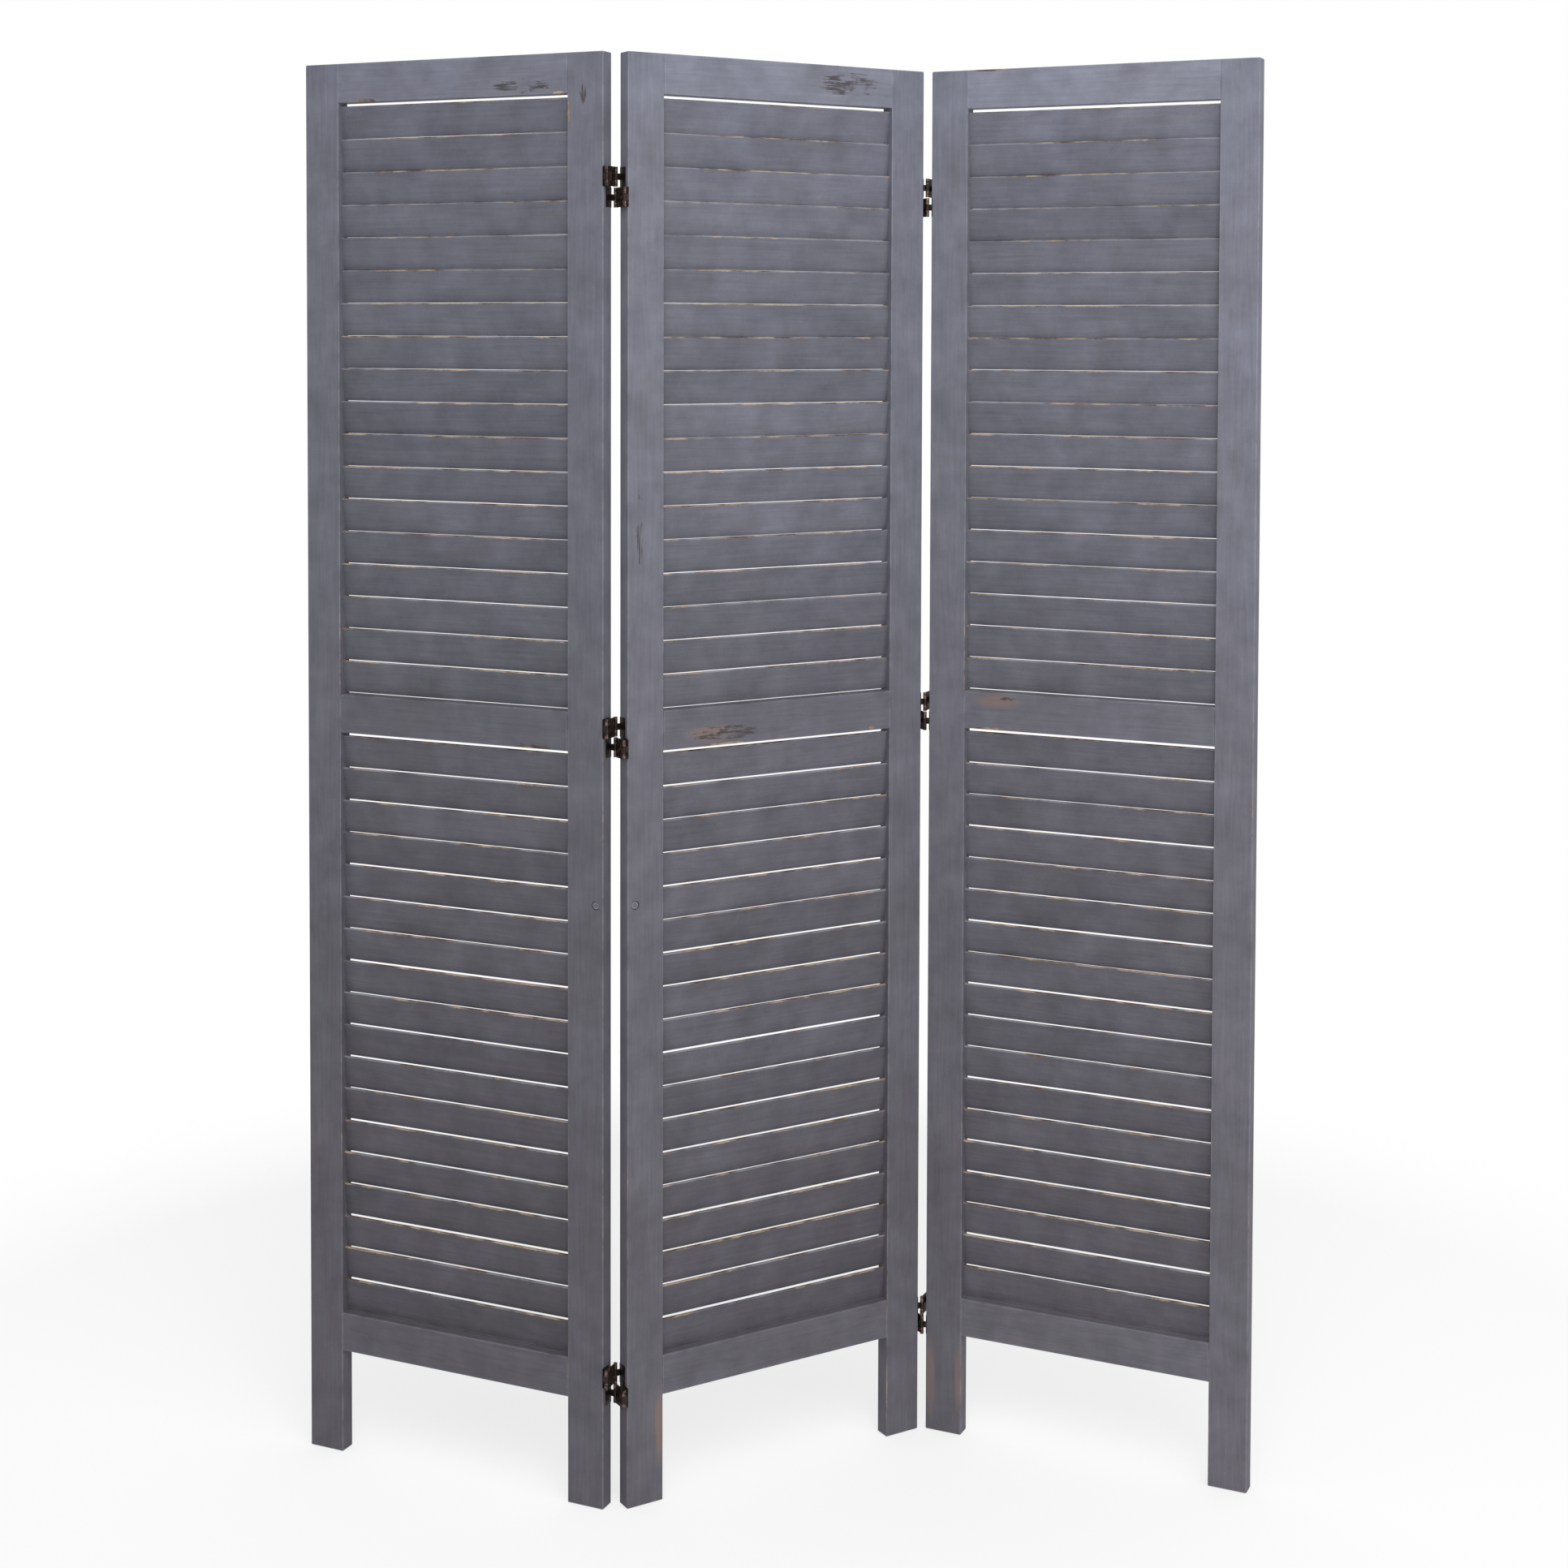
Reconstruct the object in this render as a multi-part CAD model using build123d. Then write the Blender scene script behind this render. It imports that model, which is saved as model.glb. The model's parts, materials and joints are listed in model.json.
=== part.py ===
from build123d import *
from math import sin
import os

# A folding screen of three louvred wooden panels that stand in a zigzag. All sizes are in millimetres.
# +Z is up and the fronts face -Y. The origin is on the floor, below the middle of the whole box.
# A panel is drawn with x from its left end, y from its front face to its back and z up from the floor.

# Sizes of a panel
panel_height = 1700.0
panel_width = 410.0
thickness = 20.0
member_width = 47.0
foot_height = 126.0
outer_round = 1.5
inner_round = 0.8
rail_top_round = 2.5
rail_bottom_round = 1.0
foot_bevel = 0.6

# Slats, fitted by hand, so each sits a little above or below its even place
slats_per_field = 18
slat_pitch = 39.5
slat_board = 39.4
slat_thickness = 3.2
slat_round = 0.6
slat_tilt = 8.5
groove_depth = 6.0
first_slat_gap = 4.0
unevenness = {"upper": 0.12, "lower": 0.35}
unevenness_step = 2.4
panel_phase = {"left": 0.3, "middle": 1.7, "right": 3.1}
field_phase = {"upper": 0.9, "lower": 0.0}

# Dowels between rails and stiles
dowel_radius = 4.0
dowel_length = 40.0
dowel_offset = 12.0

# Folds in plan: the panels stand apart by the gap, and each pivot lies just outside a face
panel_gap = 10.0
pivot_offset = 1.0
middle_turn = 30.8
left_fold_turn = 55.2
right_fold_turn = 55.9

# Two-way hinges
hinge_levels = {"top": 1545.0, "mid": 907.0, "bottom": 144.0}
hinge_height = 47.0
half_gap = 1.2
sheet = 1.2
leaf_step = 6.0
leaf_corner = 1.0
knuckle_radius = 2.3
knuckle_gap = 0.2
window_reach = 4.4
window_corner = 1.8
pin_radius = 1.2
running_clearance = 0.06

# Screws of the hinges: distance from the front face and height above the hinge's middle
leaf_screws = ((6.5, 17.5), (9.5, 6.0))
screw_head_radius = 2.5
screw_shank_radius = 1.25
screw_length = 13.0
screw_tip = 2.5
recess_length = 2.8
recess_width = 0.7
recess_depth = 0.6

# Large screws in sunk seats beside the left fold
sunk_screw_height = 711.6
sunk_screw_inset = 10.0
sunk_seat_radius = 5.2
sunk_head_radius = 4.7
sunk_head_depth = 1.0
sunk_head_thickness = 1.6
sunk_head_bevel = 0.5
sunk_shank_radius = 2.0
sunk_shank_length = 12.0
sunk_recess_length = 5.0
sunk_recess_width = 1.1
sunk_recess_depth = 0.9

# Worked out from the sizes above
inner_width = panel_width - 2 * member_width
field_height = (panel_height - foot_height - 3 * member_width) / 2
rail_bottoms = {
    "bottom": foot_height,
    "mid": foot_height + member_width + field_height,
    "top": panel_height - member_width,
}
field_tops = {"upper": rail_bottoms["top"], "lower": rail_bottoms["mid"]}
front_pivot = -pivot_offset
back_pivot = thickness + pivot_offset
end_face = panel_gap / 2
half_base = half_gap / 2
half_height = (hinge_height - half_gap) / 2
knuckle_height = (half_height - 2 * knuckle_gap) / 3
leaf_knuckle_base = half_base + knuckle_height + knuckle_gap


def box_between(low, high):
    size = [b - a for a, b in zip(low, high)]
    return Pos(*low) * Box(*size, align=Align.MIN)


def upright(radius, height, y, z):
    return Pos(0, y, z) * Cylinder(radius, height, align=(Align.CENTER, Align.CENTER, Align.MIN))


def turned_about(x, y, angle):
    return Pos(x, y, 0) * Rot(0, 0, angle) * Pos(-x, -y, 0)


# Wooden pieces of a panel

def dowels():
    """Twelve pegs, each half in a rail's end and half in a stile."""
    peg = Rot(0, 90, 0) * Cylinder(dowel_radius, dowel_length)
    pegs = []
    for bottom in rail_bottoms.values():
        for x in (member_width, panel_width - member_width):
            for side in (-1, 1):
                z = bottom + member_width / 2 + side * dowel_offset
                pegs.append(Pos(x, thickness / 2, z) * peg)
    return pegs


def rail(level):
    """A rail between the stiles, with eased long edges and dowel holes in its ends."""
    start = (member_width, 0, rail_bottoms[level])
    end = (panel_width - member_width, thickness, rail_bottoms[level] + member_width)
    body = box_between(start, end)
    top_round = outer_round if level == "top" else rail_top_round
    body = fillet(body.edges().filter_by(Axis.X).group_by(Axis.Z)[-1], top_round)
    body = fillet(body.edges().filter_by(Axis.X).group_by(Axis.Z)[0], rail_bottom_round)
    return body - dowels()


def slats(panel, field):
    """Slanted slats with the top edge to the front, seated in the grooves of both stiles."""
    length = inner_width + 2 * groove_depth
    profile = Plane.YZ * RectangleRounded(slat_thickness, slat_board, slat_round)
    slat = Rot(slat_tilt, 0, 0) * extrude(profile, length)
    start = member_width - groove_depth
    first = field_tops[field] - first_slat_gap - slat.bounding_box().max.Z
    placed = []
    for i in range(slats_per_field):
        phase = panel_phase[panel] + field_phase[field] + i * unevenness_step
        z = first - i * slat_pitch + unevenness[field] * sin(phase)
        placed.append(Pos(start, thickness / 2, z) * slat)
    return placed


def stile():
    """A stile and leg in one, with its outer edge at x = 0, before any groove or hole is cut."""
    body = box_between((0, 0, 0), (member_width, thickness, panel_height))
    body = fillet(body.edges().filter_by(Axis.Z).group_by(Axis.X)[-1], inner_round)
    outer_edges = body.edges().filter_by(Axis.Z).group_by(Axis.X)[0]
    top_edges = body.faces().sort_by(Axis.Z)[-1].edges()
    outside = outer_edges + top_edges.filter_by(Axis.X) + top_edges.filter_by(Axis.Y).sort_by(Axis.X)[:1]
    body = fillet(outside, outer_round)
    return chamfer(body.faces().sort_by(Axis.Z)[0].edges(), foot_bevel)


# Screws, drawn upright with the head's outer face at z = 0

def below(shape, z):
    return Pos(0, 0, z) * shape


def cross_recess(length, width, depth):
    arm = Box(length, width, 2 * depth)
    return arm + Rot(0, 0, 90) * arm


def hinge_screw_hole():
    """The outline of a countersunk wood screw, as cut in the leaf and the wood."""
    top = (Align.CENTER, Align.CENTER, Align.MAX)
    head_height = screw_head_radius - screw_shank_radius
    head = Cone(screw_shank_radius, screw_head_radius, head_height, align=top)
    shank = Cylinder(screw_shank_radius, screw_length - screw_tip, align=top)
    tip = Cone(0, screw_shank_radius, screw_tip, align=top)
    return head + shank + below(tip, screw_tip - screw_length)


def hinge_screw():
    return hinge_screw_hole() - cross_recess(recess_length, recess_width, recess_depth)


def sunk_screw():
    """A large wood screw whose pan head sits below the face, in a round seat."""
    top = (Align.CENTER, Align.CENTER, Align.MAX)
    head = Cylinder(sunk_head_radius, sunk_head_thickness, align=top)
    head = chamfer(head.edges().group_by(Axis.Z)[-1], sunk_head_bevel)
    shank = Cylinder(sunk_shank_radius, sunk_shank_length + sunk_head_thickness, align=top)
    recess = cross_recess(sunk_recess_length, sunk_recess_width, sunk_recess_depth)
    return below(head + shank - recess, -sunk_head_depth)


def screw_seat():
    """The round seat that the large screw's head lies in."""
    top = (Align.CENTER, Align.CENTER, Align.MAX)
    return Cylinder(sunk_seat_radius, sunk_head_depth + sunk_head_thickness, align=top)


# Pieces of a hinge, drawn about the middle of the gap in a straight fold, with z = 0 at mid height.
# Above mid height the left leaf turns on the front pivot and the right leaf on the back one.
# Below mid height they change over.

upside_down = Pos(0, thickness, 0) * Rot(180, 0, 0)
half_round = Pos(0, thickness, 0) * Rot(0, 0, 180)


def in_leaf(screw):
    """The four places of a left leaf's screws, whose heads lie flush in its outer face."""
    upper = [Pos(-end_face, y, z) * Rot(0, 90, 0) * screw for y, z in leaf_screws]
    return upper + [upside_down * item for item in upper]


def leaf():
    """The left leaf: a stepped plate with a knuckle in front above and another behind below."""
    low = (-end_face - sheet, 0, 0)
    high = (-end_face, thickness - leaf_step, hinge_height / 2)
    plate = box_between(low, high)
    plate = plate + upside_down * plate
    plate = fillet(plate.edges().filter_by(Axis.X), leaf_corner)
    arm_back = front_pivot + knuckle_radius
    arm_top = leaf_knuckle_base + knuckle_height
    arm = box_between((-end_face - sheet / 2, arm_back - sheet, leaf_knuckle_base), (0, arm_back, arm_top))
    knuckle = arm + upright(knuckle_radius, knuckle_height, front_pivot, leaf_knuckle_base)
    bore = upright(pin_radius + running_clearance, knuckle_height, front_pivot, leaf_knuckle_base)
    body = plate + knuckle + upside_down * knuckle
    return body - bore - upside_down * bore - in_leaf(hinge_screw_hole())


def link():
    """The upper link: a plate from pivot to pivot, with a window where each leaf's knuckle turns."""
    body = box_between((-sheet / 2, front_pivot, half_base), (sheet / 2, back_pivot, hinge_height / 2))
    window_height = knuckle_height + 2 * knuckle_gap
    window_face = RectangleRounded(2 * window_reach, window_height, window_corner)
    for y in (front_pivot, back_pivot):
        body = body + upright(knuckle_radius, half_height, y, half_base)
    for y in (front_pivot, back_pivot):
        middle = Pos(0, y, half_base + half_height / 2)
        window = extrude(Plane.YZ * window_face, 2 * knuckle_radius, both=True)
        body = body - middle * window - upright(pin_radius, half_height, y, half_base)
    return body


def whole_pin(y):
    return upright(pin_radius, half_height, y, half_base)


def cut_pin(y):
    """A pin cut in three: the two ends, held by a link, and the middle, held by a leaf."""
    ends = [
        upright(pin_radius, knuckle_height, y, half_base),
        upright(pin_radius, knuckle_height, y, leaf_knuckle_base + knuckle_height + knuckle_gap),
    ]
    return ends, upright(pin_radius, knuckle_height, y, leaf_knuckle_base)


def at_each_level(shapes):
    return [Pos(0, 0, z) * shape for z in hinge_levels.values() for shape in shapes]


# Where each panel and fold stands, first from the middle panel, then in the room

right_end = Pos(panel_width + end_face, 0, 0)
left_end = Pos(-end_face, 0, 0)
panel_step = panel_width + panel_gap
left_turn = turned_about(-end_face, back_pivot, -left_fold_turn)
right_turn = turned_about(panel_width + end_face, front_pivot, -right_fold_turn)
room = Rot(0, 0, middle_turn)
panel_places = {
    "left": room * left_turn * Pos(-panel_step, 0, 0),
    "middle": room,
    "right": room * right_turn * Pos(panel_step, 0, 0),
}
hinged_ends = {
    "left": {"right": "left_fold"},
    "middle": {"left": "left_fold", "right": "right_fold"},
    "right": {"left": "right_fold"},
}
sunk_screw_places = {
    ("left", "right"): panel_width - sunk_screw_inset,
    ("middle", "left"): sunk_screw_inset,
}
end_frames = {"left": left_end * half_round, "right": right_end}
leaf_sides = {"left": "right_leaf", "right": "left_leaf"}
parts = {}

# Panels
plain_leaf = leaf()
plain_stiles = {"left": stile()}
plain_stiles["right"] = Pos(panel_width, 0, 0) * mirror(plain_stiles["left"], Plane.YZ)
for panel, place in panel_places.items():
    name = panel + "_panel_"
    upper_slats = slats(panel, "upper")
    lower_slats = slats(panel, "lower")
    all_hinge_screws = []
    for end, plain in plain_stiles.items():
        body = plain - upper_slats - lower_slats - dowels()
        if end in hinged_ends[panel]:
            fold = hinged_ends[panel][end]
            all_hinge_screws += [end_frames[end] * item for item in at_each_level(in_leaf(hinge_screw()))]
            body = body - [end_frames[end] * item for item in at_each_level(in_leaf(hinge_screw_hole()))]
            for level, z in hinge_levels.items():
                fitted = end_frames[end] * Pos(0, 0, z) * plain_leaf
                body = body - fitted
                parts[fold + "_" + level + "_hinge_" + leaf_sides[end]] = place * fitted
        if (panel, end) in sunk_screw_places:
            facing_front = Pos(sunk_screw_places[(panel, end)], 0, sunk_screw_height) * Rot(90, 0, 0)
            screw = facing_front * sunk_screw()
            body = body - facing_front * screw_seat() - screw
            parts[name + "sunk_screw"] = place * screw
        parts[name + end + "_stile"] = place * body
    for level in rail_bottoms:
        parts[name + level + "_rail"] = place * rail(level)
    parts[name + "upper_slats"] = place * Compound(upper_slats)
    parts[name + "lower_slats"] = place * Compound(lower_slats)
    parts[name + "dowels"] = place * Compound(dowels())
    parts[name + "hinge_screws"] = place * Compound(all_hinge_screws)

# Links and pins of the folds. An upper link is turned with the outer panel, a lower one is not.
# The lower link's pin on the outer panel is the one that is cut in three.
folds = {
    "left_fold": (left_end, left_turn, back_pivot, "left"),
    "right_fold": (right_end, right_turn, front_pivot, "right"),
}
upper_link = link()
lower_link = upside_down * upper_link
for fold, (fold_frame, turn, open_pivot, outer_panel) in folds.items():
    turned = room * turn * fold_frame
    straight = room * fold_frame
    for level, z in hinge_levels.items():
        hinge_name = fold + "_" + level + "_hinge_"
        parts[hinge_name + "upper_link"] = turned * Pos(0, 0, z) * upper_link
        parts[hinge_name + "lower_link"] = straight * Pos(0, 0, z) * lower_link
    upper_pins = [whole_pin(front_pivot), whole_pin(back_pivot)]
    pin_ends, pin_middle = cut_pin(thickness - open_pivot)
    lower_pins = [upside_down * item for item in [whole_pin(open_pivot)] + pin_ends]
    middles = at_each_level([upside_down * pin_middle])
    parts[fold + "_upper_link_pins"] = turned * Compound(at_each_level(upper_pins))
    parts[fold + "_lower_link_pins"] = straight * Compound(at_each_level(lower_pins))
    parts[outer_panel + "_panel_pin_middles"] = straight * Compound(middles)

# Shift everything so that the origin is below the middle of the whole box
whole = Compound(list(parts.values())).bounding_box()
centred = Pos(-whole.center().X, -whole.center().Y, -whole.min.Z)
os.makedirs("parts", exist_ok=True)
for node, shape in parts.items():
    export_step(centred * shape, "parts/" + node + ".step")
print(len(parts), "nodes", "centre", whole.center(), "size", whole.size)
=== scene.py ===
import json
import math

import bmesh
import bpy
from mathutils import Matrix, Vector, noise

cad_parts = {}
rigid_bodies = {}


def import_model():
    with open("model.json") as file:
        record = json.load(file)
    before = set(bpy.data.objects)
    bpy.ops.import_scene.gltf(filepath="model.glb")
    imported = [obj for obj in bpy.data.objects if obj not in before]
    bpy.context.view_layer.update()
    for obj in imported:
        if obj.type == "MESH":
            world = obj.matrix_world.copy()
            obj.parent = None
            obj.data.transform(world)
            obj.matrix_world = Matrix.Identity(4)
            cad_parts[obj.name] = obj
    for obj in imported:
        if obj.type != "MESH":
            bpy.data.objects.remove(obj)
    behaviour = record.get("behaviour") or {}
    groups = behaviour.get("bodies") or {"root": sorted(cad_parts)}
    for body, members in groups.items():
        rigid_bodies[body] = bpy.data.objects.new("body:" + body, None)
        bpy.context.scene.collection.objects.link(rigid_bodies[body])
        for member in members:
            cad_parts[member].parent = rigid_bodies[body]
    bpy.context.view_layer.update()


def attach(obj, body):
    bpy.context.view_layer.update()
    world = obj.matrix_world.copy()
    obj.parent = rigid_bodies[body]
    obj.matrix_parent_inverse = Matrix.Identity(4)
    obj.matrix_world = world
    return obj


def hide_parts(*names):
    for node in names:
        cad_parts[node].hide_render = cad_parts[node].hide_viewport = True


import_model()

# %% [markdown]
# # A folding screen in worn grey-blue paint
# Three louvred wooden panels stand in a zigzag and are joined by small dark two-way hinges.
# The frame brings every piece of wood and metal at its real size. This file gives each one its
# finish, makes the slats again with the small faults of hand-fitted wood, and sets up a plain
# pale studio.

MM = 0.001
PANEL_WIDTH = 410.0
PANEL_HEIGHT = 1700.0
THICKNESS = 20.0
MEMBER = 47.0
FOOT = 126.0
GAP = 10.0
PIVOT = 1.0
FIELD = (PANEL_HEIGHT - FOOT - 3 * MEMBER) / 2
RAIL_BOTTOMS = {"bottom": FOOT, "mid": FOOT + MEMBER + FIELD, "top": PANEL_HEIGHT - MEMBER}
FIELD_TOPS = {"upper": RAIL_BOTTOMS["top"], "lower": RAIL_BOTTOMS["mid"]}


def chance(*place):
    """Smooth noise at a fixed place, about -0.5 to 0.5."""
    return noise.noise(Vector(place))


def turned(point, degrees, about=(0.0, 0.0)):
    """A plan point turned about another, in millimetres."""
    a = math.radians(degrees)
    x, y = point[0] - about[0], point[1] - about[1]
    return (about[0] + x * math.cos(a) - y * math.sin(a), about[1] + x * math.sin(a) + y * math.cos(a))


# %% [markdown]
# Each panel has its own axes: x along the panel, y from its front face to its back and z up. Grain,
# wear and brush strokes all follow these axes, so every material first turns the object's position
# into them. The middle panel is turned 30.8 degrees. The left one hinges on the pivot line behind
# the gap and the right one on the line in front of it.

# %% Where the panels stand
MIDDLE_TURN = 30.8
LEFT_FOLD = 55.2
RIGHT_FOLD = 55.9
CENTRE = (170.017, 113.502)


def in_room(point):
    x, y = turned(point, MIDDLE_TURN)
    return (x - CENTRE[0], y - CENTRE[1])


left_start = turned((-PANEL_WIDTH - GAP, 0), -LEFT_FOLD, (-GAP / 2, THICKNESS + PIVOT))
right_start = turned((PANEL_WIDTH + GAP, 0), -RIGHT_FOLD, (PANEL_WIDTH + GAP / 2, -PIVOT))
PANELS = {
    "left": (in_room(left_start), MIDDLE_TURN - LEFT_FOLD),
    "middle": (in_room((0, 0)), MIDDLE_TURN),
    "right": (in_room(right_start), MIDDLE_TURN - RIGHT_FOLD),
}
for panel, (corner, turn) in PANELS.items():
    print(panel, "front left corner", [round(c, 1) for c in corner], "turned", round(turn, 1))


# %% [markdown]
# Node networks are easier to read as formulas. This small class adds a node, wires its inputs and
# hands back its output, so a mask can be written as one line.

# %% A short hand for shader nodes
class Net:
    def __init__(self, tree):
        self.tree = tree

    def put(self, socket, value):
        if isinstance(value, bpy.types.NodeSocket):
            self.tree.links.new(value, socket)
        else:
            socket.default_value = value

    def node(self, kind, **settings):
        made = self.tree.nodes.new(kind)
        for key, value in settings.items():
            setattr(made, key, value)
        return made

    def math(self, operation, *values):
        made = self.node("ShaderNodeMath", operation=operation)
        for socket, value in zip(made.inputs, values):
            self.put(socket, value)
        return made.outputs[0]

    def vector(self, operation, *values):
        made = self.node("ShaderNodeVectorMath", operation=operation)
        for socket, value in zip(made.inputs, values):
            self.put(socket, value)
        return made.outputs["Value"] if operation == "LENGTH" else made.outputs[0]

    def split(self, value):
        made = self.node("ShaderNodeSeparateXYZ")
        self.put(made.inputs[0], value)
        return made.outputs

    def noise(self, place, scale, detail=3.0, roughness=0.55, distortion=0.0):
        made = self.node("ShaderNodeTexNoise")
        self.put(made.inputs["Vector"], place)
        made.inputs["Scale"].default_value = scale
        made.inputs["Detail"].default_value = detail
        made.inputs["Roughness"].default_value = roughness
        made.inputs["Distortion"].default_value = distortion
        return made.outputs[0]

    def ramp(self, value, start, end):
        """0 at start and 1 at end, with a soft change between them."""
        made = self.node("ShaderNodeMapRange", interpolation_type="SMOOTHSTEP")
        self.put(made.inputs["Value"], value)
        self.put(made.inputs["From Min"], start)
        self.put(made.inputs["From Max"], end)
        return made.outputs[0]

    def vary(self, pattern, depth):
        """A factor around 1 that follows a pattern whose mean is a half."""
        return self.math("MULTIPLY_ADD", pattern, depth, 1 - depth / 2)

    def mix(self, amount, first, second):
        made = self.node("ShaderNodeMix", data_type="RGBA")
        self.put(made.inputs[0], amount)
        self.put(made.inputs[6], first)
        self.put(made.inputs[7], second)
        return made.outputs[2]

    def group(self, tree, **values):
        made = self.node("ShaderNodeGroup", node_tree=tree)
        for key, value in values.items():
            self.put(made.inputs[key], value)
        return made.outputs


def new_group(name, inputs, outputs):
    tree = bpy.data.node_groups.new(name, "ShaderNodeTree")
    for label, kind in inputs:
        tree.interface.new_socket(name=label, in_out="INPUT", socket_type="NodeSocket" + kind)
    for label, kind in outputs:
        tree.interface.new_socket(name=label, in_out="OUTPUT", socket_type="NodeSocket" + kind)
    source = tree.nodes.new("NodeGroupInput")
    sink = tree.nodes.new("NodeGroupOutput")
    return tree, Net(tree), source.outputs, sink.inputs


# %% [markdown]
# Paint wears first where two faces meet. For a straight board the distance from any point of its
# surface to the nearest arris is the middle one of its three depths below the faces of its box, and
# that is a short formula.

# %% Distance to a board's nearest arris
arris_tree, net, given, result = new_group(
    "arris_distance",
    [("Place", "Vector"), ("Middle", "Vector"), ("Half", "Vector")],
    [("Millimetres", "Float")],
)
from_middle = net.vector("ABSOLUTE", net.vector("SUBTRACT", given["Place"], given["Middle"]))
depths = net.vector("SUBTRACT", given["Half"], from_middle)
depth_x, depth_y, depth_z = net.split(net.vector("MULTIPLY", depths, (1 / MM, 1 / MM, 1 / MM)))[:3]
lower = net.math("MINIMUM", depth_x, depth_y)
upper = net.math("MAXIMUM", depth_x, depth_y)
net.put(result["Millimetres"], net.math("MAXIMUM", lower, net.math("MINIMUM", upper, depth_z)))
print("nodes in the arris distance:", len(arris_tree.nodes))

# %% [markdown]
# Knocks and scuffs sit in known places: a rail that is gripped when the screen is moved, a leg that
# is kicked. One group fades from 1 in the middle of such a place to 0 at its edge.

# %% A place that was knocked or scuffed
SPOT_EDGE = 1.0
SPOT_CORE = 0.35

spot_tree, net, given, result = new_group(
    "spot",
    [("Place", "Vector"), ("Middle", "Vector"), ("Reach", "Vector")],
    [("Amount", "Float")],
)
offset = net.vector("DIVIDE", net.vector("SUBTRACT", given["Place"], given["Middle"]), given["Reach"])
net.put(result["Amount"], net.ramp(net.vector("LENGTH", offset), SPOT_EDGE, SPOT_CORE))
print("nodes in a spot:", len(spot_tree.nodes))

# %% [markdown]
# The paint is a chalky grey-blue, brushed along the wood. It is a little lighter high up and darker
# near the floor. Along the arrises it is rubbed to a paler line, and in some stretches it is gone,
# which shows tan and dark brown wood. Where it has only worn thin, the wood comes through as a soft
# brown. Faint lines follow the rings of flat-sawn wood below it. The same group serves the boards of
# the frames and the slats, so that they match.

# %% Colours and tones
PAINT_LOW = (0.0984, 0.0928, 0.1095, 1)
PAINT_HIGH = (0.1401, 0.1424, 0.1777, 1)
RUBBED_PAINT = (0.34, 0.345, 0.37, 1)
THIN_PAINT = (0.185, 0.135, 0.120, 1)
PALE_WOOD = (0.36, 0.27, 0.20, 1)
DARK_WOOD = (0.10, 0.066, 0.05, 1)
WOOD_PORES = (0.05, 0.034, 0.028, 1)
SCUFF = (0.036, 0.028, 0.026, 1)
# Painted light and shade: each panel's paint is painted lighter or darker for the way it faces the light, and
# the slats' paint is painted darker still for the shade of their downward lean.
PANEL_PAINTED_SHADE = {"left": 0.866, "middle": 1.032, "right": 1.135}
SLAT_PAINTED_SHADE = {"left": 0.89, "middle": 0.865, "right": 0.81}
BOARD_TONE = {"top_rail": 1.13, "mid_rail": 0.95}
print("colours are set for", len(PANEL_PAINTED_SHADE), "panels")

# %% [markdown]
# The size of a pattern is in steps to a metre. Patterns that are drawn out into strokes count in a
# stretched position instead, with 12 steps to a metre along the wood and 230 across it. All but the
# rings have a mean of about a half. A depth says how far a pattern moves the tone of the paint. A
# pair of limits says where a mask that is made from a pattern starts and where it is full.

# %% Patterns of the worn paint
ALONG_GRAIN = 12.0
ACROSS_GRAIN = 230.0
CLOUDS = 5.0
PATCHES = 22.0
RAGGED_EDGES = 210.0
SPECKLE = 900.0
STROKES = 1.0
GRAIN = 3.3
SCRATCHES = 2.6
RING_SPREAD = 0.2
RING_COUNT = 75.0
RING_LIMITS = (0.1, 1.0)

paint_tree, net, given, result = new_group(
    "worn_paint",
    [("Place", "Vector"), ("Stroke", "Vector"), ("Arris", "Float"), ("Bare", "Float"), ("Chips", "Float"),
     ("Dark", "Float"), ("Faded", "Float"), ("Tone", "Float"), ("Rub", "Float")],
    [("Color", "Color"), ("Roughness", "Float"), ("Height", "Float")],
)
place = given["Place"]
drawn_out = given["Stroke"]
clouds = net.noise(place, CLOUDS, detail=4.0)
patches = net.noise(place, PATCHES, detail=4.0, roughness=0.6)
ragged = net.noise(place, RAGGED_EDGES, detail=4.0, roughness=0.65)
speckle = net.noise(place, SPECKLE, detail=2.0)
strokes = net.noise(drawn_out, STROKES, detail=5.0, roughness=0.65)
grain = net.noise(drawn_out, GRAIN, detail=3.0, roughness=0.7)
scratches = net.noise(drawn_out, SCRATCHES, detail=6.0, roughness=0.72)
bands = net.noise(drawn_out, RING_SPREAD, detail=2.0, roughness=0.4)
rings = net.ramp(net.math("SINE", net.math("MULTIPLY", bands, RING_COUNT)), *RING_LIMITS)
print("nodes for the patterns:", len(paint_tree.nodes))

# %% [markdown]
# The sound paint varies in clouds, patches, brush strokes and specks. In a few streaks, and in the
# places that are marked as faded, the paint is thin and the wood comes through as a soft brown.

# %% Tone and thin places
TURNING_HEIGHTS = (0.3, 1.7)
CLOUD_DEPTH = 0.45
PATCH_DEPTH = 0.84
STROKE_DEPTH = 0.44
SPECKLE_DEPTH = 0.4
RING_DEPTH = -0.05
RING_LIFT = 1.02
SATURATION_DEPTH = 0.6
THIN_STREAKS = 0.45
THIN_LIMITS = (0.55, 0.85)
THIN_SHARE = 0.2
FADED_STREAKS = 0.9
FADED_LIMITS = (0.25, 0.55)
FADED_COVER = 0.8

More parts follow.
